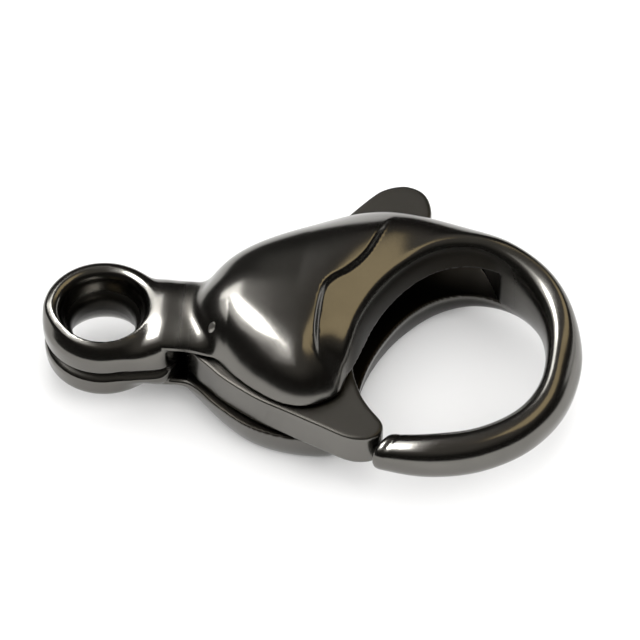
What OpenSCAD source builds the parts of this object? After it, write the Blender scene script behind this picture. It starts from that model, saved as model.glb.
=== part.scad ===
/* [Eye ring] */
// Radius of the bore through the eye ring, at its narrowest
eye_bore_r = 0.85; // [0.6:0.05:1]
// Height of the straight land inside the bore
eye_land = 0.5; // [0.3:0.05:0.7]
// Radius of the bore's flared mouth
eye_mouth_r = 1.2; // [1.1:0.02:1.3]
// Outer radius of the eye ring
eye_r = 1.65; // [1.55:0.02:1.85]
// Height of the eye ring
eye_h = 2.04; // [1.8:0.04:2.4]
// Height of the round bead on each face of the eye ring
bead_h = 0.38; // [0.25:0.01:0.5]
// Width of the seam groove round the eye ring
seam_w = 0.26; // [0.16:0.02:0.36]
// Depth of the seam groove
seam_d = 0.09; // [0.04:0.01:0.14]

/* [Cheeks] */
// Distance from the eye's centre to the start of the opening
cheek_len = 7.05; // [6.6:0.05:7.6]
// Distance from the long axis to the far edge of the cheeks
far_w = 4.2; // [3.9:0.05:4.5]
// Distance from the long axis to the near edge of the cheeks
near_w = 3; // [2.7:0.05:3.3]
// Height of the crown of the upper cheek above the middle plane
crown_h = 1.9; // [1.7:0.05:2.2]
// Depth of the lower cheek below the middle plane
belly_h = 1.75; // [1.6:0.05:2]
// Depth of the flat that the clasp rests on
rest_z = 1.68; // [1.5:0.02:1.7]
// Half width of the neck between the eye ring and the cheeks
neck_w = 1.32; // [1.1:0.02:1.4]
// Height of the neck
neck_h = 2.5; // [2.2:0.05:2.7]

/* [Opening and hook] */
// Length of the opening
open_len = 5; // [4.6:0.05:5.4]
// Width of the opening
open_w = 5.6; // [5.2:0.05:6]
// Distance from the long axis to the opening's centre, towards the near side
open_y = 0.3; // [0.1:0.05:0.5]
// Width of the hook's bar at its bow
hook_w = 1.02; // [0.8:0.02:1.3]
// Height of the hook's bar at its tip
hook_h = 1.24; // [1:0.02:1.5]

/* [Lever] */
// Thickness of the lever
lever_t = 1.04; // [0.8:0.02:1.2]
// Gap between the lever and each cheek
side_gap = 0.06; // [0.03:0.01:0.1]
// Distance from the pivot to the tip of the gate
gate_len = 5.56; // [5.4:0.02:5.6]
// Gap between the tip of the gate and the hook's tip
tip_gap = 0.08; // [0.05:0.01:0.15]
// Distance from the pivot to the end of the thumb tab
tab_len = 7.82; // [7.4:0.05:8.2]
// Radius of the lever's boss round the pivot
boss_r = 0.72; // [0.62:0.02:0.8]
// Angle that the lever swings open
lever_swing = 22; // [15:1:24]

/* [Pivot pin] */
// Distance from the eye's centre to the pivot, along the clasp
pivot_x = 3.05; // [2.95:0.05:3.2]
// Distance from the long axis to the pivot, towards the near side
pivot_y = 0.6; // [0.5:0.05:0.7]
// Radius of the pin
pin_r = 0.32; // [0.25:0.01:0.4]
// Radial clearance of the lever on the pin
pin_gap = 0.03; // [0.02:0.01:0.06]

/* [Hidden] */
steel = [0.36, 0.35, 0.34];
lever_steel = [0.42, 0.41, 0.39];
pin_steel = [0.5, 0.5, 0.48];

pivot = [pivot_x, -pivot_y];
open_mid = [cheek_len + open_len / 2, -open_y];
slot_h = lever_t + 2 * side_gap;

// Rings laid between two rows of a table, and points over the top half of a ring
row_steps = 2;
half_points = 12;

// How much squarer the belly is than the crown, and the squareness from which it is so
belly_extra = 1.6;
round_square = 2.5;

// Neck. Columns: place along cheek_len, width as a share of neck_w, height as a share of neck_h, squareness
neck_rows = [
    [0.09, 1.14, 0.72, 5],
    [0.15, 1.19, 0.76, 4.5],
    [0.21, 1.15, 0.81, 3.6],
    [0.29, 1.02, 0.97, 2.7]
];

// Cheeks, from the neck to the near corner. Columns: place along cheek_len, far edge as a share of far_w,
// near edge as a share of near_w, crown as a share of crown_h, belly as a share of belly_h, squareness
cheek_rows = [
    [0.35, 0.37, 0.50, 0.73, 0.76, 2.6],
    [0.41, 0.45, 0.63, 0.83, 0.87, 2.7],
    [0.50, 0.57, 0.80, 0.93, 0.97, 2.9],
    [0.61, 0.70, 0.94, 0.99, 1.00, 3.1],
    [0.72, 0.80, 1.00, 1.00, 1.00, 3.2],
    [0.83, 0.90, 1.00, 0.98, 1.00, 3.3],
    [0.92, 0.96, 0.97, 0.94, 1.00, 3.3]
];

// Where the cheeks turn round the opening. Columns: angle and fullness of the point on the opening's oval,
// far edge's place along open_len from its start, far edge as a share of far_w, crown, belly, squareness
turn_rows = [
    [217.5, 1.26, -0.05, 0.98, 0.91, 1.00, 3.2],
    [209, 1.13, -0.01, 0.99, 0.88, 1.00, 3.1],
    [195, 0.98, 0.04, 1.00, 0.86, 1.00, 3.0],
    [178, 0.90, 0.09, 1.00, 0.84, 0.98, 3.0],
    [141, 0.85, 0.19, 1.00, 0.80, 0.94, 2.9],
    [108, 0.93, 0.33, 0.98, 0.76, 0.88, 2.8],
    [82, 1.00, 0.56, 0.91, 0.70, 0.80, 2.6]
];

// Hook, from its root to its tip. Columns: angle and fullness of the point on the opening's oval,
// width as a share of hook_w, height as a share of hook_h, squareness
hook_rows = [
    [57, 1.03, 1.13, 1.80, 2.5],
    [32, 1.03, 1.07, 1.45, 2.4],
    [8, 1.01, 1.01, 1.20, 2.3],
    [-17, 1.01, 1.00, 1.06, 2.2],
    [-42, 0.98, 0.98, 1.00, 2.2],
    [-68, 0.96, 1.01, 1.00, 2.2],
    [-95, 1.00, 1.05, 1.00, 2.2]
];

// Outline of the lever about its pivot. Columns: angle, radius as a share of the length named for the part
gate_rows = [
    [288, 0.255], [305, 0.425], [314, 0.585], [319, 0.75], [322, 0.895], [325.6, 0.975], [329.5, 1],
    [333, 0.972], [336.5, 0.865], [341, 0.785], [352, 0.70], [12, 0.70]
];
tab_rows = [
    [29, 0.62], [36, 0.78], [40.5, 0.925], [43.6, 0.98], [47.6, 1.006], [51.5, 0.985], [54.2, 0.925],
    [55.2, 0.85], [56, 0.66], [58.3, 0.42]
];
boss_rows = [[75, 1.25], [115, 1], [155, 1], [195, 1], [235, 1], [265, 1.25]];

// Edge of the solid web at the neck, past which the slot is open. Columns: place along and across from the
// pivot, as shares of the lever's boss radius. Its far end stays clear of the tab's back edge swung open
web_rows = [[-2.6, -5], [-1.95, -1.5], [-1.12, 0], [-0.7, 1.7]];
web_spare = 3;
web_angle = tab_rows[len(tab_rows) - 1][0] + lever_swing + web_spare;

// The slot about the pivot: the angle where it ends in the hook's root, the angle where it comes out through
// the far edge, how far it stops short of the tab's end in the root, and how far it runs past the far edge
slot_end = 21;
slot_out = 35;
slot_short = 0.1;
slot_over = 0.5;
arc_steps = 12;
bead_turn = 22.5;
lever_steps = 4;
round_fn = 72;

function spline_at(a, b, c, d, t) =
    0.5 * (2 * b + (c - a) * t + (2 * a - 5 * b + 4 * c - d) * t * t + (3 * b - a - 3 * c + d) * t * t * t);
function open_rows(rows, steps) = [
    for (i = [0 : len(rows) - 2]) for (k = [0 : steps - 1])
        spline_at(rows[max(i - 1, 0)], rows[i], rows[i + 1], rows[min(i + 2, len(rows) - 1)], k / steps),
    rows[len(rows) - 1]
];
function closed_points(points, steps) = let (n = len(points)) [
    for (i = [0 : n - 1]) for (k = [0 : steps - 1])
        spline_at(points[(i + n - 1) % n], points[i], points[(i + 1) % n], points[(i + 2) % n], k / steps)
];
function polar(row, size) = size * row[1] * [cos(row[0]), sin(row[0])];
function along(a, b) = (b - a) / norm(b - a);

// A ring is [far x, far y, near x, near y, crown, belly, squareness]
function on_oval(angle, full) = open_mid + full * [open_len / 2 * cos(angle), open_w / 2 * sin(angle)];
function off_oval(angle, width) =
    let (n = [cos(angle) / open_len, sin(angle) / open_w]) width * n / norm(n);
function neck_ring(r) = [
    r[0] * cheek_len, r[1] * neck_w, r[0] * cheek_len, -r[1] * neck_w, r[2] * neck_h / 2, r[2] * neck_h / 2,
    r[3]
];
function cheek_ring(r) = [
    r[0] * cheek_len, r[1] * far_w, r[0] * cheek_len, -r[2] * near_w, r[3] * crown_h, r[4] * belly_h, r[5]
];
function turn_ring(r) = let (p = on_oval(r[0], r[1])) [
    cheek_len + r[2] * open_len, r[3] * far_w, p[0], p[1], r[4] * crown_h, r[5] * belly_h, r[6]
];
function hook_ring(r) = let (p = on_oval(r[0], r[1]), q = p + off_oval(r[0], r[2] * hook_w)) [
    q[0], q[1], p[0], p[1], r[3] * hook_h / 2, r[3] * hook_h / 2, r[4]
];

// The hook ends on the arc that the gate's tip sweeps, a gap away from it
tip_r = gate_len + tip_gap;
tip_in = -27.5;
tip_out = -37;
tip_square = 2.2;

// Rounding of the hook's tip. Columns: distance back from the end, inset of the inner edge, inset of the
// outer edge and height, as shares of hook_w and hook_h
tip_rows = [[0.75, 0, 0, 1], [0.4, 0, 0.03, 1], [0.15, 0.02, 0.15, 0.95], [0, 0.1, 0.38, 0.76]];
tip_inner = pivot + tip_r * [cos(tip_in), sin(tip_in)];
tip_outer = pivot + (tip_r + tip_gap) * [cos(tip_out), sin(tip_out)];
tip_across = along(tip_outer, tip_inner);
function tip_ring(r) =
    let (p = tip_inner + hook_w * ([r[0], 0] - r[1] * tip_across),
         q = tip_outer + hook_w * ([r[0], 0] + r[2] * tip_across))
    [q[0], q[1], p[0], p[1], r[3] * hook_h / 2, r[3] * hook_h / 2, tip_square];

control_rings = concat(
    [for (r = neck_rows) neck_ring(r)],
    [for (r = cheek_rows) cheek_ring(r)],
    [for (r = turn_rows) turn_ring(r)],
    [for (r = hook_rows) hook_ring(r)],
    [for (r = tip_rows) tip_ring(r)]
);
rings = open_rows(control_rings, row_steps);

function edge_share(s) = sin(90 * s);
function ring_points(r) =
    let (mid = [(r[0] + r[2]) / 2, (r[1] + r[3]) / 2], half = [(r[0] - r[2]) / 2, (r[1] - r[3]) / 2]) [
        for (side = [1, -1]) for (k = [0 : half_points - 1])
            let (square = side > 0 ? r[6] : r[6] + belly_extra * max(r[6] - round_square, 0),
                 u = side * edge_share(1 - 2 * k / half_points),
                 v = side * pow(max(1 - pow(abs(u), square), 0), 1 / square),
                 z = v * (side > 0 ? r[4] : r[5]))
            [mid[0] + u * half[0], mid[1] + u * half[1], z]
    ];

module shell() {
    n = 2 * half_points;
    m = len(rings);
    points = [for (r = rings) each ring_points(r)];
    sides = [for (i = [0 : m - 2]) for (k = [0 : n - 1])
        each [[(i + 1) * n + (k + 1) % n, i * n + (k + 1) % n, i * n + k],
              [(i + 1) * n + k, (i + 1) * n + (k + 1) % n, i * n + k]]];
    caps = [[for (k = [0 : n - 1]) k], [for (k = [n - 1 : -1 : 0]) (m - 1) * n + k]];
    polyhedron(points, concat(sides, caps), convexity = 6);
}

// Each face of the ring is a round bead between the bore's mouth and the outer wall
bead_r = (eye_mouth_r + eye_r) / 2;
bead_w = (eye_r - eye_mouth_r) / 2;
eye_wall = eye_h / 2 - bead_h;
function bead_arc(from, to, side) = [
    for (a = [from : from < to ? bead_turn : -bead_turn : to])
        [bead_r + bead_w * cos(a), side * (eye_wall + bead_h * sin(a))]
];

module eye_disc() {
    rotate_extrude($fn = round_fn) polygon(concat(
        [[0, -eye_wall]], bead_arc(180, 0, -1), bead_arc(0, 180, 1), [[0, eye_wall]]
    ));
}

// The bore with its flared mouths, clear up to the crest of each bead, and the seam groove round the ring
module eye_cut() {
    rotate_extrude($fn = round_fn) polygon(concat(
        [[0, -eye_h], [bead_r, -eye_h]], bead_arc(90, 180, -1),
        [[eye_bore_r, -eye_land / 2], [eye_bore_r, eye_land / 2]],
        bead_arc(180, 90, 1), [[bead_r, eye_h], [0, eye_h]]
    ));
    difference() {
        rotate_extrude($fn = round_fn) polygon([
            [eye_r - seam_d, 0], [eye_r + seam_d, seam_w], [eye_r + seam_d, -seam_w]
        ]);
        translate([neck_rows[0][0] * cheek_len, -2 * eye_r, -2 * seam_w]) cube([2 * eye_r, 4 * eye_r, 4 * seam_w]);
    }
}

function pie(r, from, to) = concat([[0, 0]], [
    for (k = [0 : arc_steps]) let (a = from + (to - from) * k / arc_steps) r * [cos(a), sin(a)]
]);

module pin_shape(r) {
    translate([pivot[0], pivot[1], -2 * crown_h]) cylinder(r = r, h = 4 * crown_h, $fn = round_fn);
}

// The gate sweeps a circle about the pivot and the tab sweeps a pie, and the web at the neck closes the slot
module slot_cut() {
    far_reach = 2 * tab_len;
    translate([pivot[0], pivot[1], -slot_h / 2]) intersection() {
        union() {
            cylinder(r = gate_len + tip_gap / 2, h = slot_h, $fn = 2 * round_fn);
            linear_extrude(slot_h) polygon(pie(tab_len + slot_over, slot_out, web_angle));
            linear_extrude(slot_h) polygon(pie(tab_len - slot_short, slot_end, web_angle));
        }
        linear_extrude(slot_h) polygon(concat(
            [for (r = web_rows) boss_r * r],
            [for (share = [0.42, 1]) tab_len * share * [cos(web_angle), sin(web_angle)]],
            [[far_reach, tab_len], [far_reach, -gate_len]]
        ));
    }
}

module clasp_body() {
    length = 2 * (cheek_len + open_len);
    color(steel) difference() {
        union() {
            shell();
            eye_disc();
        }
        eye_cut();
        slot_cut();
        pin_shape(pin_r);
        translate([-eye_r, -length / 2, -rest_z - crown_h]) cube([length, length, crown_h]);
    }
}

module lever() {
    points = closed_points(concat(
        [for (r = gate_rows) polar(r, gate_len)],
        [for (r = tab_rows) polar(r, tab_len)],
        [for (r = boss_rows) polar(r, boss_r)]
    ), lever_steps);
    color(lever_steel) translate([pivot[0], pivot[1], -lever_t / 2]) difference() {
        linear_extrude(lever_t) polygon(points);
        translate([0, 0, -lever_t]) cylinder(r = pin_r + pin_gap, h = 3 * lever_t, $fn = round_fn);
    }
}

module pivot_pin() {
    color(pin_steel) intersection() {
        pin_shape(pin_r);
        shell();
    }
}

clasp_body();
lever();
pivot_pin();
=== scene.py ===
"""Dresses the lobster clasp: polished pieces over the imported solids, a pale floor, soft lights and a camera.

Each shape is a field over space: negative inside the metal, and zero on its surface. Lengths are in
millimetres from the eye ring's centre: +X runs to the hook, +Y to the far side and +Z up. A span is a pair
of values: where a change starts and where it ends.
"""
import math

import bpy
import numpy as np
import openvdb
from mathutils import Matrix, Vector


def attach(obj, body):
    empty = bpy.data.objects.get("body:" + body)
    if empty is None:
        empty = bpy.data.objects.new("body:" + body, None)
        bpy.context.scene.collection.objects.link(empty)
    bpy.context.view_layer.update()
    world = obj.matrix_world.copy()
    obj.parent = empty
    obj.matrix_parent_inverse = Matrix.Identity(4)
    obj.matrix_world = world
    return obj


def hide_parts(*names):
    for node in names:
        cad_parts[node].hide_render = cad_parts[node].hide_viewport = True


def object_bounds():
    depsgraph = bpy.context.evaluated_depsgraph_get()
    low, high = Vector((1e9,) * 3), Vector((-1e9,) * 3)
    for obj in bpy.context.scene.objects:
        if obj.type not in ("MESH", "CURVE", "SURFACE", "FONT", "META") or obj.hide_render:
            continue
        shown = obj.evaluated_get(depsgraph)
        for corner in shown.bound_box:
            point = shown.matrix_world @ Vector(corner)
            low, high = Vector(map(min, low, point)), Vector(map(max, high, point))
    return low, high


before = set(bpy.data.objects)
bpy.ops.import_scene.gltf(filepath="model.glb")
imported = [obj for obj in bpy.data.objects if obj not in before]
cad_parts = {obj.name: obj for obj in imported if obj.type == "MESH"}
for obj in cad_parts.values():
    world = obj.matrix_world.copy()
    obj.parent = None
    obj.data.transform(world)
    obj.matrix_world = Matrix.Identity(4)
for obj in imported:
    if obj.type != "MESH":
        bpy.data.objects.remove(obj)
cad_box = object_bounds()

MM = 0.001

# Fineness of the plan maps and the meshes
MAP_STEP = 0.05
MESH_STEP = 0.06
SLOPE_STEP = 0.012
PULLS = 4
PULL_LIMIT = 0.5 * MESH_STEP
TINY = 1e-12

# Outlines seen from above. The far edge runs from the neck past the tab and round the hook to its tip
OPENING = [(7.06, -1.9), (7.3, -0.2), (8.0, 1.3), (8.9, 2.2), (9.95, 2.48), (11.0, 2.1), (11.75, 1.2),
           (12.06, 0.1), (11.98, -1.1), (11.4, -2.1), (10.4, -2.8), (9.3, -3.08), (8.2, -3.12),
           (7.4, -2.9)]
FAR_EDGE = [(-3, 0.9), (0, 0.9), (1.3, 0.95), (2.1, 1.13), (2.85, 1.74), (3.85, 2.57), (4.85, 3.22),
            (5.8, 3.74), (6.7, 4.09), (7.6, 4.24), (8.6, 4.13), (9.8, 3.8), (11.05, 3.25),
            (12.15, 2.35), (12.85, 1.15), (13.08, -0.2), (12.75, -1.8), (11.9, -3.05), (10.7, -3.85),
            (9.4, -4.18), (8.2, -4.1), (7.2, -3.7)]
FAR_SIDE_ROWS = slice(0, 16)
HOOK_ROWS = slice(6, None)
HOOK_CLOSING = [(6.3, -2.2), (5.0, 0.5)]
UPPER_NEAR = [(-3, -0.75), (0, -0.75), (1.6, -0.8), (2.15, -0.92), (2.6, -1.17), (3.0, -1.37),
              (3.35, -1.64), (3.7, -1.95), (4.05, -2.23), (4.4, -2.46), (4.75, -2.66), (5.1, -2.8),
              (5.5, -2.87), (5.9, -2.83), (6.3, -2.66), (6.7, -2.36), (7.0, -1.8)]
LOWER_NEAR = [(-3, -0.9), (0, -0.9), (1.4, -0.9), (2.0, -1.0), (2.6, -1.45), (3.3, -2.05),
              (4.2, -2.66), (5.2, -2.95), (6.2, -2.98), (6.8, -2.75), (7.08, -2.2)]
BORDER = [(7.95, 4.2), (7.7, 3.5), (7.39, 2.75), (7.03, 1.84), (6.58, 1.20), (6.20, 0.83),
          (5.98, 0.41), (5.90, -0.39), (5.92, -1.25), (6.1, -2.2), (6.3, -3.2)]

# Corners that close an open edge: outside the metal for the sides, and on its right for the border
BEYOND_FAR = [(17, -0.2), (17, 10), (-4, 10)]
BEYOND_NEAR = [(7.4, -8), (-4, -8)]
RIGHT_OF_BORDER = [(14, -5), (14, 7), (8.5, 7)]

# The lever about its pivot: angle in degrees, and radius as a share of the gate, the tab or the boss
PIVOT = (3.05, -0.6)
GATE_LENGTH, TAB_LENGTH, BOSS_RADIUS = 5.56, 7.82, 0.72
GATE = [(288, 0.255), (305, 0.425), (314, 0.585), (319, 0.75), (322, 0.895), (325.6, 0.975),
        (329.5, 1), (333, 0.972), (336.5, 0.865), (341, 0.785), (352, 0.70), (12, 0.70)]
TAB = [(29, 0.62), (36, 0.78), (40.5, 0.925), (43.6, 0.98), (47.6, 1.006), (51.5, 0.985),
       (54.2, 0.925), (55.2, 0.85), (56, 0.66), (58.3, 0.42)]
BOSS = [(75, 1.25), (115, 1), (155, 1), (195, 1), (235, 1), (265, 1.25)]
LEVER_STEPS = 8
LEVER_HALF, LEVER_ROUNDING = 0.52, 0.16
PIN_RADIUS, PIN_PLAY = 0.32, 0.03

# The slot: half its height, its gaps past gate and tab, and the angles of the two lines where it opens
SLOT_HALF = 0.58
TIP_GAP, TAB_GAP = 0.08, 0.35
TAB_LINE, FAR_LINE = 20, 35
SLOT_ROUNDING, SLOT_ROUNDING_GAIN, SLOT_ROUND_END = 0.09, 0.3, (2.2, 3.4)

# The web that ends the slot at the neck, in boss radii from the pivot, and the line that stops the tab
WEB = [(-2.6, -5), (-1.95, -1.5), (-1.12, 0), (-0.7, 1.7)]
TAB_STOP = [(83.3, 0.42), (83.3, 1)]
SLOT_CORNERS = [(14.5, 7.5), (14.5, -5.5)]

# Half section of the eye ring: distance from the bore's axis, and height. The bore runs on past both faces
EYE_SECTION = [(1.655, 0.1), (1.665, 0.3), (1.665, 0.5), (1.66, 0.68), (1.64, 0.8), (1.59, 0.885),
               (1.5, 0.925), (1.4, 0.95), (1.31, 0.92), (1.22, 0.865), (1.16, 0.77), (1.11, 0.6),
               (1.02, 0.4), (0.9, 0.24), (0.85, 0.08), (0.85, -0.12), (0.88, -0.3), (0.97, -0.55),
               (1.08, -0.8), (1.2, -0.98), (1.34, -1.03), (1.5, -1.0), (1.6, -0.87), (1.63, -0.6),
               (1.64, -0.3), (1.65, -0.12)]
BORE_ROWS = slice(9, 21)
BORE_ABOVE = [(-2.5, -3), (-2.5, 3), (1.26, 3)]
BORE_BELOW = [(1.34, -3)]
BORE_ROUNDING = 0.08

# The ring's near side: its upper shoulder is cut back and its top lies a little lower
NEAR_SIDE = (-1.3, 0.2)
SHOULDER_CUT, SHOULDER_HEIGHTS, SHOULDER_RADII = 0.2, (0.38, 0.95), (1.05, 1.4)
TOP_DROP, TOP_DROP_HEIGHTS = 0.03, (0.3, 0.9)

# The seam groove round the ring
SEAM_Z, SEAM_DEPTH, SEAM_WIDTH = -0.18, 0.24, 0.13
SEAM_RADII, SEAM_END = (1.1, 1.3), (1.7, 2.1)

# The neck: an oval bar that narrows and rises towards the cheeks
NECK_START, NECK_END, NECK_ROUNDING = 0.7, 3.2, 0.4
NECK_HALF_WIDTH, NECK_NARROWING, NARROWING_SPAN = 1.5, 0.12, (0.7, 2.1)
NECK_HALF_HEIGHT, NECK_RISE, RISE_SPAN = 0.86, 0.22, (0.75, 1.85)
NECK_POWER = 3.2

# The hook: its centre, where its own outer edge holds, and its bar's half height by angle
HOOK_CENTRE = (9.55, -0.35)
HOOK_X, TIP_X, TIP_Y = 8.6, 6.6, -2.9
ANGLE_WRAP = -137
BAR_HALF, BAR_GAIN, BAR_ANGLES = 0.62, 0.88, (-20, 120)
TIP_ROUNDING, TIP_SIDE_Y, TIP_END_Y = 0.3, -2, 0.5
FAR_AWAY = 9

# Rows of amount, centre and width: the tip's taper and its fine line, and how the bar's crest leans
TIP_TAPER = [(0.2, 0, 0.9), (0.02, 0.3, 0.07)]
CREST_LEAN = [(0.33, 44, 24), (-0.4, -5, 24)]

# The cheeks: the angles where the hook grows into them, how softly upper and lower meet, and their height.
# Start is where a cheek begins at the neck, and the rest is how far in the rounding reaches from each edge
CHEEK_ANGLES = (60, 130)
MIDDLE = (-0.3, 0.3)
UPPER_CHEEK = {"start": 2.12, "rim": 1.55, "hole": 0.45, "far": 2.8, "left": 1.65}
LOWER_CHEEK = {"start": 1.6, "rim": 0.8, "hole": 0.6, "far": 1.8, "left": 1.2}
UPPER_POWER, LOWER_POWER, LOWER_POWER_GAIN = 2.15, 2.3, 0.5
SQUARER, SQUARER_FAR, SQUARER_BEND = 0.6, (0.5, 2.5), (38, 25)
DOME_TOP, NECK_FALL, FALL_FROM, FALL_LENGTH = 1.81, 0.37, 6, 4
HOLE_FALL, HOLE_FALL_WIDTH, HOLE_FALL_SOFTNESS = 0.3, 1.5, 0.05
BORDER_STEP, BORDER_WIDTH, BORDER_NEAR, BORDER_FAR = 0.13, (-0.1, 0.1), (-2.2, -0.7), (2.4, 3.7)
BELLY_HALF, BELLY_GAIN, BELLY_SPAN = 1.3, 0.5, (1.5, 4.2)
EDGE_SOFTNESS, EDGE_LIMIT, THINNEST = 0.02, 3, 0.05

# Fillets from the ring to the neck and on to the cheeks, and the level that the clasp rests on
RING_BLEND, SHELL_BLEND = 0.35, 0.28
REST_Z, REST_ROUNDING = -1.68, 0.1

# The rivet: its gap in the hole, how far it is sunk into both cheeks, and its small end on the upper one
RIVET_GAP, RIVET_SINK, RIVET_ROUNDING = 0.005, 0.02, 0.03
RIVET_END_Y, RIVET_END_RISE, RIVET_END_RADII, RIVET_UPPER = -0.78, 0.045, (0.06, 0.14), (0, 0.2)

# Painted shade: the metal is darkened, and made rougher, on the opening's steep walls, in the bore, seam and
# slot, at the neck's crease and on the lever between the cheeks. Steepness and flatness go by the normal's
# height
STEEP, FLAT = (0.35, 0.75), (0.6, 0.9)
# Less painted shade towards the hook's right side and along the lower cheek's ledge, which stays lit
OPENING_WALL, OPENING_NEAR, OPENING_RIGHT, RIGHT_LESS_SHADE = (0.1, 0.45), (-3.2, -1.6), (10.2, 11.6), 0.75
LEDGE_Z, LEDGE_WIDTH, LEDGE_LESS_SHADE = -SLOT_HALF - 0.1, 0.1, 0.9
BORE_SHADE, BORE_RADII = 0.9, (0.9, 1.12)
GROOVE_WIDTH, GROOVE_END = 0.1, (1.9, 2.2)
SLOT_WALL, SLOT_WALL_START = (0.02, 0.05), (2.2, 2.6)
CREASE_SHADE, CREASE_X, CREASE_WIDTH, CREASE_LOW, CREASE_HIGH = 0.75, 2.32, 0.2, (0.5, 0.9), (1.2, 1.5)
LEVER_SHADE, BETWEEN_CHEEKS = 0.8, (-0.5, -0.1)
# Painted shade: the near black that shaded places go towards, and the roughness added there
PAINTED_SHADE_COLOR = (0.02, 0.018, 0.015)
RECESS_ROUGH = 0.2

# Metals: darker tint, lighter tint and range of roughness. Textures: scale and detail
GUNMETAL = ((0.12, 0.116, 0.107), (0.158, 0.152, 0.14), (0.15, 0.22))
RIVET_METAL = ((0.24, 0.232, 0.215), (0.3, 0.29, 0.265), (0.3, 0.38))
LEVER_METAL = ((0.13, 0.126, 0.116), (0.17, 0.163, 0.15), (0.2, 0.28))
CLOUDS, POLISH_MARKS, WAVES = (0.9, 4), (14, 6), (2.2, 3)
BUMP_STRENGTH, BUMP_DEPTH = 0.12, 0.02 * MM

# Boxes that the pieces are meshed in
CASE_BOX = (-1.8, -4.4, -1.9), (13.3, 4.4, 2.1)
LEVER_BOX = (2.1, -3.95, -0.7), (8.9, 5.7, 0.7)
RIVET_BOX = (2.6, -1.05, -1.9), (3.5, -0.15, 2.0)

# Camera: the photograph's frame, from a long way off. Near and far clip are in metres
PHOTO_PIXELS, PIXELS_PER_MM = 640, 36.7
SENSOR = 36
NEAR_CLIP, FAR_CLIP = 0.01, 10
VIEW_AZIMUTH, VIEW_ELEVATION, VIEW_DISTANCE = 5, 50, 160
AIM, AIM_RIGHT, AIM_UP = (5.6, 0, 0), 0.318, 0.591

# Studio, in metres. The room has rows of how far up the ramp a colour is, and the colour
PANEL_HEIGHT, PANEL_X = 0.34, 0.005
CARD_AIM, CARD_DISTANCE = (0.006, 0, 0), 0.4
FLOOR_SIZE, FLOOR_COLOR, FLOOR_ROUGH = 1.6, (0.92, 0.92, 0.92, 1), 0.9
WHITE, WARM = (1, 1, 1), (1, 0.8, 0.45)
ROOM = [(0.5, (0.035, 0.033, 0.03, 1)), (0.82, (0.21, 0.2, 0.182, 1))]


def spline(points, steps=14, closed=True):
    """A smooth line through the points."""
    p = np.array(points, float)
    n = len(p)
    t = np.linspace(0, 1, steps, endpoint=False)[:, None]
    parts = []
    for i in range(n if closed else n - 1):
        a, b, c, d = (p[(i + k) % n] if closed else p[min(max(i + k, 0), n - 1)] for k in (-1, 0, 1, 2))
        parts.append(0.5 * (2 * b + (c - a) * t + (2 * a - 5 * b + 4 * c - d) * t ** 2
                            + (3 * b - a - 3 * c + d) * t ** 3))
    line = np.concatenate(parts)
    return line if closed else np.vstack([line, p[-1]])


def polar(rows, size):
    """Points about the pivot, from rows of angle and share of the size."""
    points = []
    for degrees, part in rows:
        turn, radius = math.radians(degrees), size * part
        points.append((PIVOT[0] + radius * math.cos(turn), PIVOT[1] + radius * math.sin(turn)))
    return points


def signed_distance(line, x, y):
    """Distance from a closed line, negative inside it."""
    best = np.full(x.shape, np.inf)
    inside = np.zeros(x.shape, bool)
    for (ax, ay), (bx, by) in zip(line, np.roll(line, -1, axis=0)):
        ex, ey = bx - ax, by - ay
        t = np.clip(((x - ax) * ex + (y - ay) * ey) / (ex * ex + ey * ey), 0, 1)
        best = np.minimum(best, (x - ax - t * ex) ** 2 + (y - ay - t * ey) ** 2)
        if ay != by:
            inside ^= ((ay <= y) != (by <= y)) & (x < ax + (y - ay) * ex / ey)
    return np.where(inside, -np.sqrt(best), np.sqrt(best))


class PlanMap:
    """A signed distance kept on a plan grid, and read back as a smooth surface."""
    low, high = np.array([-3.0, -6.0]), np.array([15.0, 8.0])

    def __init__(self, line):
        counts = np.round((self.high - self.low) / MAP_STEP).astype(int) + 1
        x, y = np.meshgrid(*(self.low[i] + MAP_STEP * np.arange(counts[i]) for i in (0, 1)), indexing="ij")
        self.values = signed_distance(line, x, y)

    def __call__(self, x, y):
        u, v = (x - self.low[0]) / MAP_STEP, (y - self.low[1]) / MAP_STEP
        i = np.clip(np.floor(u).astype(int), 1, self.values.shape[0] - 3)
        j = np.clip(np.floor(v).astype(int), 1, self.values.shape[1] - 3)
        total = 0.0
        for a, wa in enumerate(self.weights(u - i)):
            row = 0.0
            for b, wb in enumerate(self.weights(v - j)):
                row = row + wb * self.values[i + a - 1, j + b - 1]
            total = total + wa * row
        return total

    @staticmethod
    def weights(t):
        """A cubic spline's weights for the four grid lines round a place between two of them."""
        return ((1 - t) ** 3 / 6, (3 * t ** 3 - 6 * t ** 2 + 4) / 6,
                (-3 * t ** 3 + 3 * t ** 2 + 3 * t + 1) / 6, t ** 3 / 6)


def side_map(edge, corners):
    """Distance from an open edge, negative on the side that the corners close."""
    return PlanMap(np.vstack([spline(edge, closed=False), corners]))


def slot_outline():
    """The slot seen from above: the web at the neck, the tab's stop, and corners past the metal."""
    web = [(PIVOT[0] + BOSS_RADIUS * a, PIVOT[1] + BOSS_RADIUS * b) for a, b in WEB]
    return np.array(web + polar(TAB_STOP, TAB_LENGTH) + SLOT_CORNERS)


def lever_outline():
    """The lever seen from above, round by way of the gate, the tab and the boss."""
    rows = polar(GATE, GATE_LENGTH) + polar(TAB, TAB_LENGTH) + polar(BOSS, BOSS_RADIUS)
    return spline(rows, LEVER_STEPS)


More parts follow.
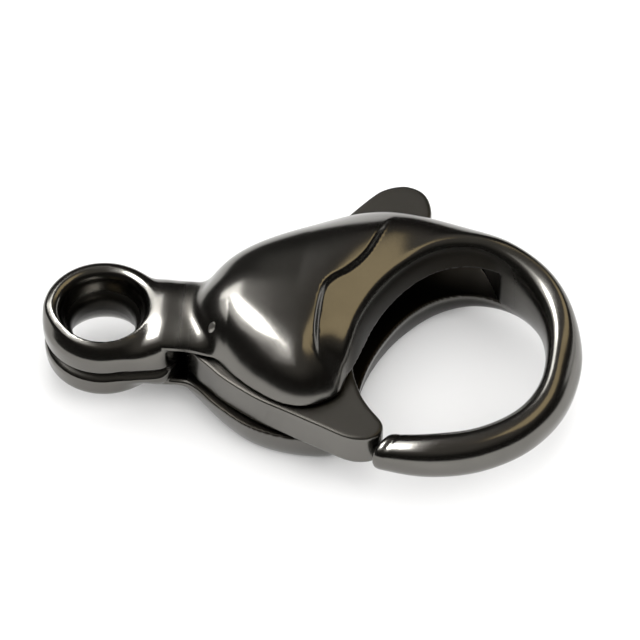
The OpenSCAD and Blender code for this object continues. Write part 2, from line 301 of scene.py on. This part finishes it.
opening = PlanMap(spline(OPENING))
hook_edge = PlanMap(spline(FAR_EDGE[HOOK_ROWS] + HOOK_CLOSING))
far_side = side_map(FAR_EDGE[FAR_SIDE_ROWS], BEYOND_FAR)
upper_rim = side_map(UPPER_NEAR, BEYOND_NEAR)
lower_rim = side_map(LOWER_NEAR, BEYOND_NEAR)
border_edge = side_map(BORDER, RIGHT_OF_BORDER)
lever_edge = PlanMap(lever_outline())
slot_edge = PlanMap(slot_outline())
eye_section = PlanMap(spline(EYE_SECTION))
bore_section = PlanMap(np.array(BORE_ABOVE + EYE_SECTION[BORE_ROWS] + BORE_BELOW))


def round_max(a, b, k):
    """Cuts one field with another, with a rounded edge about k across."""
    h = np.maximum(k - np.abs(a - b), 0) / k
    return np.maximum(a, b) + h * h * h * k / 6


def round_min(a, b, k):
    """Joins two fields with a fillet about k across."""
    return -round_max(-a, -b, k)


def ease(x, start, end):
    """Goes smoothly from 0 at the start to 1 at the end."""
    t = np.clip((x - start) / (end - start), 0, 1)
    return t * t * t * (t * (6 * t - 15) + 10)


def fade(x, start, end):
    """Goes smoothly from 1 at the start to 0 at the end."""
    return 1 - ease(x, start, end)


def bell(x, centre, width):
    """1 at the centre, falling to 0 on both sides."""
    return np.exp(-((x - centre) / width) ** 2)


def bells(x, rows):
    """A sum of bells, from rows of amount, centre and width."""
    return sum(amount * bell(x, centre, width) for amount, centre, width in rows)


def soft_positive(x, softness):
    """Close to x where it is positive and to 0 where it is negative."""
    return (x + np.sqrt(x * x + softness)) / 2


def oval(u, v, power):
    """Below 0 inside a rounded square with a half side of 1: a power of 2 is a circle."""
    return (np.abs(u) ** power + np.abs(v) ** power + TINY) ** (1 / power) - 1


def from_pivot(x, y):
    return np.hypot(x - PIVOT[0], y - PIVOT[1])


def pivot_line(x, y, degrees):
    """Distance from a line through the pivot, negative on its far side."""
    turn = math.radians(degrees)
    return (x - PIVOT[0]) * math.sin(turn) - (y - PIVOT[1]) * math.cos(turn)


def eye_ring(x, y, z):
    """A round ring with a bead on each face, its upper shoulder softer on the near side."""
    near = fade(y, *NEAR_SIDE)
    r = np.hypot(x, y)
    r = r + SHOULDER_CUT * near * ease(z, *SHOULDER_HEIGHTS) * ease(r, *SHOULDER_RADII)
    return eye_section(r, z + TOP_DROP * near * ease(z, *TOP_DROP_HEIGHTS))


def eye_bore(x, y, z):
    """The ring's hole, flared at both ends: negative inside the hole."""
    return bore_section(np.hypot(x, y), z)


def seam(x, y, z):
    """How deep the seam groove is round the eye ring and on to the slot."""
    return SEAM_DEPTH * bell(z, SEAM_Z, SEAM_WIDTH) * fade(x, *SEAM_END) * ease(np.hypot(x, y), *SEAM_RADII)


def neck(x, y, z):
    """The short bar between the ring and the cheeks."""
    half_width = NECK_HALF_WIDTH - NECK_NARROWING * ease(x, *NARROWING_SPAN)
    half_height = NECK_HALF_HEIGHT + NECK_RISE * ease(x, *RISE_SPAN)
    bar = oval(y / half_width, z / half_height, NECK_POWER) * half_height
    return round_max(bar, np.maximum(NECK_START - x, x - NECK_END), NECK_ROUNDING)


def hook_angle(x, y):
    """Degrees round the hook's centre: below 0 towards the tip, and over 60 towards the cheeks."""
    angle = np.degrees(np.arctan2(y - HOOK_CENTRE[1], x - HOOK_CENTRE[0]))
    return np.where(angle < ANGLE_WRAP, angle + 360, angle)


def outer_side(x, y):
    """Distance in from the outer edge: the far side's on the left, and the hook's own on the right."""
    on_hook = (x > HOOK_X) | ((y < TIP_Y) & (x > TIP_X))
    return np.where(on_hook, -hook_edge(x, y), far_side(x, y))


def tip_taper(x, y):
    """How much lower the bar gets near its tip, with a fine line across it."""
    by_tip = (y < TIP_SIDE_Y) & (x > TIP_X)
    return bells(np.where(by_tip, from_pivot(x, y) - GATE_LENGTH - TIP_GAP, FAR_AWAY), TIP_TAPER)


def dome_height(x, y, hole, cheek):
    """The upper cheek's crown: a step higher left of the border, and falling to the neck and the opening."""
    step = fade(-border_edge(x, y), *BORDER_WIDTH) * ease(y, *BORDER_NEAR) * fade(y, *BORDER_FAR)
    fall = NECK_FALL * np.clip((FALL_FROM - x) / FALL_LENGTH, 0, 1) ** 3
    sloped = HOLE_FALL * cheek * soft_positive(HOLE_FALL_WIDTH - hole, HOLE_FALL_SOFTNESS)
    return DOME_TOP - fall + BORDER_STEP * step - sloped


def share(distance, width):
    """How far out a point is: 1 at the edge, 0 from the given width inwards."""
    return np.minimum(soft_positive(1 - distance / width, EDGE_SOFTNESS), EDGE_LIMIT)


def crowned(edges, reach, z, height, power, cheek):
    """A rounded top over the plan. Edges are the distances in from the rim, hole, far side and left.

    Reach says how far in from each edge the rounding goes on a cheek. The hook's bar is round right across.
    """
    rim, hole, far, left = edges
    half = np.maximum((hole + far) / 2, THINNEST)
    broad = np.maximum((rim + far) / 2, THINNEST)
    hole_reach = half + (np.minimum(reach["hole"], half) - half) * cheek
    far_reach = half + (np.minimum(reach["far"], broad) - half) * cheek
    rim_share = share(rim, np.minimum(reach["rim"], broad)) * (cheek > 0)
    sides = share(hole, hole_reach) ** power + share(far, far_reach) ** power
    total = sides + (np.abs(z) / height) ** power + rim_share ** power + share(left, reach["left"]) ** power
    return ((total + TINY) ** (1 / power) - 1) * np.minimum(np.minimum(half, height), 1.0)


def shell(x, y, z):
    """The domed upper cheek, the flatter lower one and the hook, before the slot is cut."""
    hole, far = opening(x, y), outer_side(x, y)
    angle = hook_angle(x, y)
    cheek = ease(angle, *CHEEK_ANGLES)
    bar = BAR_HALF + BAR_GAIN * ease(angle, *BAR_ANGLES)
    lean = bells(angle, CREST_LEAN) * (far - hole) / 2 * ease(z, *MIDDLE)
    squarer = SQUARER * (ease(y, *SQUARER_FAR) * cheek + bell(angle, *SQUARER_BEND))
    dome = dome_height(x, y, hole, cheek)
    belly = BELLY_HALF + BELLY_GAIN * ease(x, *BELLY_SPAN)
    top = crowned((upper_rim(x, y), hole, far, x - UPPER_CHEEK["start"]), UPPER_CHEEK, z + lean,
                  bar - tip_taper(x, y) + (dome - bar) * cheek, UPPER_POWER + squarer, cheek)
    under = crowned((lower_rim(x, y), hole, far, x - LOWER_CHEEK["start"]), LOWER_CHEEK, z,
                    bar + (belly - bar) * cheek, LOWER_POWER + LOWER_POWER_GAIN * cheek, cheek)
    solid = top + (under - top) * fade(z, *MIDDLE)
    end = round_max(solid, GATE_LENGTH + TIP_GAP - from_pivot(x, y), TIP_ROUNDING)
    return np.where((y < TIP_END_Y) & (angle < CHEEK_ANGLES[0]), end, solid)


def slot(x, y, z):
    """The room between the cheeks where the lever swings."""
    reach = from_pivot(x, y)
    gate = reach - GATE_LENGTH - TIP_GAP / 2
    tab = np.maximum(reach - TAB_LENGTH - TAB_GAP, pivot_line(x, y, TAB_LINE))
    plan = np.minimum(gate, np.minimum(tab, pivot_line(x, y, FAR_LINE)))
    return np.maximum(np.abs(z) - SLOT_HALF, np.maximum(plan, slot_edge(x, y)))


def solid_metal(x, y, z):
    """The ring, the neck and the shell run into one another."""
    waist = round_min(eye_ring(x, y, z), neck(x, y, z), RING_BLEND)
    return round_min(waist, shell(x, y, z), SHELL_BLEND)


def body_field(x, y, z):
    """The casting: the solid metal with its seam groove, bore, flat underside and slot."""
    solid = round_max(solid_metal(x, y, z) + seam(x, y, z), -eye_bore(x, y, z), BORE_ROUNDING)
    solid = round_max(solid, REST_Z - z, REST_ROUNDING)
    return round_max(solid, -slot(x, y, z), SLOT_ROUNDING + SLOT_ROUNDING_GAIN * fade(x, *SLOT_ROUND_END))


def lever_field(x, y, z):
    """The flat lever with its hole for the pin."""
    plate = round_max(lever_edge(x, y), np.abs(z) - LEVER_HALF, LEVER_ROUNDING)
    return np.maximum(plate, PIN_RADIUS + PIN_PLAY - from_pivot(x, y))


def rivet_field(x, y, z):
    """The pivot pin, sunk a little into both cheeks, with a small round end out of the upper one."""
    side = from_pivot(x, y) - PIN_RADIUS + RIVET_GAP
    face = solid_metal(x, y, z) + RIVET_SINK
    from_end = np.hypot(x - PIVOT[0], y - RIVET_END_Y)
    end = RIVET_END_RISE * fade(from_end, *RIVET_END_RADII) * ease(z, *RIVET_UPPER)
    return round_max(side, face - end, RIVET_ROUNDING)


def case_painted_shade(x, y, z, normal):
    """Painted shade on the case, with added roughness: up to 1 in the slot, bore, seam, opening and crease at
    the neck.
    """
    wall = fade(normal[:, 2], *STEEP) * fade(opening(x, y), *OPENING_WALL) * ease(y, *OPENING_NEAR)
    wall = wall * (1 - RIGHT_LESS_SHADE * ease(x, *OPENING_RIGHT))
    wall = wall * (1 - LEDGE_LESS_SHADE * bell(z, LEDGE_Z, LEDGE_WIDTH))
    bore = BORE_SHADE * fade(np.hypot(x, y), *BORE_RADII)
    groove = bell(z, SEAM_Z, GROOVE_WIDTH) * fade(x, *GROOVE_END)
    inside = fade(slot(x, y, z), *SLOT_WALL) * ease(x, *SLOT_WALL_START)
    crease = CREASE_SHADE * bell(x, CREASE_X, CREASE_WIDTH) * ease(z, *CREASE_LOW) * fade(z, *CREASE_HIGH)
    return np.clip(np.maximum.reduce([wall, bore, groove, inside, crease]), 0, 1)


def lever_painted_shade(x, y, z, normal):
    """Painted shade, with added roughness, on the lever's flat faces where they run between the cheeks."""
    between = np.minimum(-lower_rim(x, y), -far_side(x, y))
    return LEVER_SHADE * fade(between, *BETWEEN_CHEEKS) * ease(np.abs(normal[:, 2]), *FLAT)


def rivet_painted_shade(x, y, z, normal):
    """The rivet gets no painted shade and stays polished all over."""
    return np.zeros(len(x))


def slope_of(field, points):
    """The field's gradient at each point."""
    parts = []
    for axis in range(3):
        after, before = points.copy(), points.copy()
        after[:, axis] += SLOPE_STEP
        before[:, axis] -= SLOPE_STEP
        parts.append((field(*after.T) - field(*before.T)) / (2 * SLOPE_STEP))
    return np.stack(parts, 1)


def surface_grid(field, low, high):
    """Points and quads of the field's zero surface, as the voxel grid cuts it between two corners."""
    x, y, z = (np.arange(low[i], high[i] + MESH_STEP, MESH_STEP) for i in range(3))
    values = field(x[:, None, None], y[None, :, None], z[None, None, :])
    grid = openvdb.FloatGrid(float(values.max()))
    grid.copyFromArray(values.astype(np.float32))
    points, quads = grid.convertToQuads(isovalue=0.0)
    return points * MESH_STEP + np.array(low), quads


def pull_to_surface(field, points):
    """Draws each point onto the field's zero surface by short steps along its slope."""
    for _ in range(PULLS):
        slope = slope_of(field, points)
        move = -field(*points.T)[:, None] * slope / ((slope ** 2).sum(1)[:, None] + TINY)
        length = np.linalg.norm(move, axis=1)[:, None] + TINY
        points = points + move * np.minimum(1, PULL_LIMIT / length)
    return points


def facing_out(points, quads, normals):
    """The quads, turned over if their corners run the wrong way round."""
    corners = points[quads[:, :3]]
    across = np.cross(corners[:, 1] - corners[:, 0], corners[:, 2] - corners[:, 0])
    facing = (across * normals[quads[:, 0]]).sum(1)
    return quads[:, ::-1] if np.median(facing) < 0 else quads


def piece_from_field(name, field, recess_shade, box, material):
    """A smooth mesh of the field's zero surface inside the box."""
    points, quads = surface_grid(field, *box)
    points = pull_to_surface(field, points)
    slope = slope_of(field, points)
    normals = slope / (np.linalg.norm(slope, axis=1)[:, None] + TINY)
    mesh = bpy.data.meshes.new(name)
    mesh.from_pydata((points * MM).tolist(), [], facing_out(points, quads, normals).tolist())
    mesh.shade_smooth()
    mesh.normals_split_custom_set_from_vertices(normals.tolist())
    # Each point keeps its painted shade value for the material
    mesh.attributes.new("recess_shade", "FLOAT", "POINT").data.foreach_set("value", recess_shade(*points.T, normals))
    mesh.materials.append(material)
    piece = bpy.data.objects.new(name, mesh)
    bpy.context.collection.objects.link(piece)
    return piece


def millimetres(tree):
    """The object's own coordinates in millimetres."""
    place = tree.nodes.new("ShaderNodeTexCoord")
    scale = tree.nodes.new("ShaderNodeMapping")
    scale.inputs["Scale"].default_value = (1 / MM, 1 / MM, 1 / MM)
    tree.links.new(place.outputs["Object"], scale.inputs["Vector"])
    return scale.outputs["Vector"]


def noise(tree, place, scale, detail):
    """A noise texture's value at a place."""
    texture = tree.nodes.new("ShaderNodeTexNoise")
    texture.inputs["Scale"].default_value = scale
    texture.inputs["Detail"].default_value = detail
    tree.links.new(place, texture.inputs["Vector"])
    return texture.outputs["Fac"]


def map_range(tree, value, low, high):
    """Turns 0 to 1 into low to high."""
    node = tree.nodes.new("ShaderNodeMapRange")
    node.inputs["To Min"].default_value = low
    node.inputs["To Max"].default_value = high
    tree.links.new(value, node.inputs["Value"])
    return node.outputs["Result"]


def mix_towards(tree, factor, color):
    """A colour mix that goes to the given colour. The caller sets or links the one that it starts from."""
    mix = tree.nodes.new("ShaderNodeMix")
    mix.data_type = "RGBA"
    mix.inputs["B"].default_value = (*color, 1)
    tree.links.new(factor, mix.inputs["Factor"])
    return mix


def steel(name, dark, light, rough):
    """Polished dark steel: cloudy tint, fine polish marks and slight waves; painted shade darkens it, and
    makes it rougher, by the stored shade value.
    """
    material = bpy.data.materials.new(name)
    material.use_nodes = True
    tree = material.node_tree
    links = tree.links
    shader = tree.nodes["Principled BSDF"]
    shader.inputs["Metallic"].default_value = 1.0
    recess_shade = tree.nodes.new("ShaderNodeAttribute")
    recess_shade.attribute_name = "recess_shade"
    place = millimetres(tree)

    tint = mix_towards(tree, noise(tree, place, *CLOUDS), light)
    tint.inputs["A"].default_value = (*dark, 1)
    # Painted shade: the base colour goes towards a near black by the stored shade value
    shaded = mix_towards(tree, recess_shade.outputs["Fac"], PAINTED_SHADE_COLOR)
    links.new(tint.outputs["Result"], shaded.inputs["A"])
    links.new(shaded.outputs["Result"], shader.inputs["Base Color"])

    roughness = tree.nodes.new("ShaderNodeMath")
    roughness.operation = "ADD"
    links.new(map_range(tree, noise(tree, place, *POLISH_MARKS), *rough), roughness.inputs[0])
    links.new(map_range(tree, recess_shade.outputs["Fac"], 0, RECESS_ROUGH), roughness.inputs[1])
    links.new(roughness.outputs["Value"], shader.inputs["Roughness"])

    bump = tree.nodes.new("ShaderNodeBump")
    bump.inputs["Strength"].default_value = BUMP_STRENGTH
    bump.inputs["Distance"].default_value = BUMP_DEPTH
    links.new(noise(tree, place, *WAVES), bump.inputs["Height"])
    links.new(bump.outputs["Normal"], shader.inputs["Normal"])
    return material


def direction(azimuth, elevation):
    """A unit vector, from degrees round from +X and degrees up."""
    a, e = math.radians(azimuth), math.radians(elevation)
    return Vector((math.cos(e) * math.cos(a), math.cos(e) * math.sin(a), math.sin(e)))


def add_camera():
    """A long lens from the near side, above the clasp, in the photograph's frame."""
    right = direction(VIEW_AZIMUTH, 0)
    forward = -direction(VIEW_AZIMUTH - 90, VIEW_ELEVATION)
    up = right.cross(forward)
    target = Vector(AIM) + AIM_RIGHT * right + AIM_UP * up
    data = bpy.data.cameras.new("camera")
    data.lens = SENSOR * PIXELS_PER_MM * VIEW_DISTANCE / PHOTO_PIXELS
    data.sensor_width = SENSOR
    data.clip_start = NEAR_CLIP
    data.clip_end = FAR_CLIP
    camera = bpy.data.objects.new("camera", data)
    turn = Matrix((right, up, -forward)).transposed().to_4x4()
    camera.matrix_world = Matrix.Translation((target - forward * VIEW_DISTANCE) * MM) @ turn
    bpy.context.collection.objects.link(camera)
    bpy.context.scene.camera = camera


def add_floor(z):
    """Pale paper under the clasp."""
    bpy.ops.mesh.primitive_plane_add(size=FLOOR_SIZE, location=(0, 0, z))
    floor = bpy.context.object
    floor.name = "floor"
    material = bpy.data.materials.new("floor_paper")
    material.use_nodes = True
    shader = material.node_tree.nodes["Principled BSDF"]
    shader.inputs["Base Color"].default_value = FLOOR_COLOR
    shader.inputs["Roughness"].default_value = FLOOR_ROUGH
    floor.data.materials.append(material)


def add_world():
    """A dim room, a little lighter overhead."""
    world = bpy.data.worlds.new("studio")
    bpy.context.scene.world = world
    world.use_nodes = True
    nodes, links = world.node_tree.nodes, world.node_tree.links
    place = nodes.new("ShaderNodeTexCoord")
    split = nodes.new("ShaderNodeSeparateXYZ")
    ramp = nodes.new("ShaderNodeValToRGB")
    for element, (position, color) in zip(ramp.color_ramp.elements, ROOM):
        element.position = position
        element.color = color
    links.new(place.outputs["Generated"], split.inputs["Vector"])
    links.new(split.outputs["Z"], ramp.inputs["Fac"])
    links.new(ramp.outputs["Color"], nodes["Background"].inputs["Color"])


def area_light(name, width, depth, radiance, color):
    """A rectangular light that is equally bright at any size."""
    data = bpy.data.lights.new(name, "AREA")
    data.shape = "RECTANGLE"
    data.size, data.size_y = width, depth
    data.energy = radiance * math.pi * width * depth
    data.color = color
    light = bpy.data.objects.new(name, data)
    bpy.context.collection.objects.link(light)
    return light


def card(name, azimuth, elevation, size, radiance):
    """A light that faces the clasp from a direction."""
    way = direction(azimuth, elevation)
    light = area_light(name, *size, radiance, WHITE)
    light.location = Vector(CARD_AIM) + way * CARD_DISTANCE
    light.rotation_euler = way.to_track_quat("Z", "Y").to_euler()


def panel(name, x_share, y_share, radiance, color=WHITE, lights_floor=True, mirrored=True):
    """A level light panel overhead: its sides are given as shares of its height."""
    width, depth = ((end - start) * PANEL_HEIGHT for start, end in (x_share, y_share))
    middle_x, middle_y = (sum(ends) / 2 * PANEL_HEIGHT for ends in (x_share, y_share))
    light = area_light(name, width, depth, radiance, color)
    light.location = (PANEL_X + middle_x, middle_y, PANEL_HEIGHT)
    light.visible_diffuse = lights_floor
    light.visible_glossy = mirrored


def add_studio():
    """Strips and a warm card that the metal mirrors, and a wide fill that only lights the floor."""
    add_world()
    panel("strip", (-0.7, -0.36), (-0.06, 0.7), radiance=24, lights_floor=False)
    panel("tall_strip", (-1.2, -0.36), (0.7, 1.15), radiance=6, lights_floor=False)
    panel("halo", (-1.15, -0.3), (-0.3, 0.75), radiance=2, lights_floor=False)
    panel("glow", (-1.05, -0.16), (-0.5, 1.0), radiance=0.6)
    panel("warm_card", (0.3, 0.85), (0, 0.85), radiance=1.25, color=WARM, lights_floor=False)
    card("low_card", azimuth=48, elevation=9, size=(0.3, 0.1), radiance=1.3)
    panel("fill", (-2.5, 2.5), (-2.5, 2.5), radiance=2.0, mirrored=False)
    bpy.context.scene.view_settings.view_transform = "Standard"


body_metal = steel("gunmetal", *GUNMETAL)
rivet_metal = steel("rivet_metal", *RIVET_METAL)
lever_metal = steel("lever_metal", *LEVER_METAL)

case = piece_from_field("polished_case", body_field, case_painted_shade, CASE_BOX, body_metal)
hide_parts("clasp_body")
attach(case, "case")

gate = piece_from_field("polished_lever", lever_field, lever_painted_shade, LEVER_BOX, lever_metal)
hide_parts("lever")
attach(gate, "gate")

rivet = piece_from_field("polished_rivet", rivet_field, rivet_painted_shade, RIVET_BOX, rivet_metal)
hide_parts("pivot_pin")
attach(rivet, "case")

add_camera()
add_floor(cad_box[0][2])
add_studio()
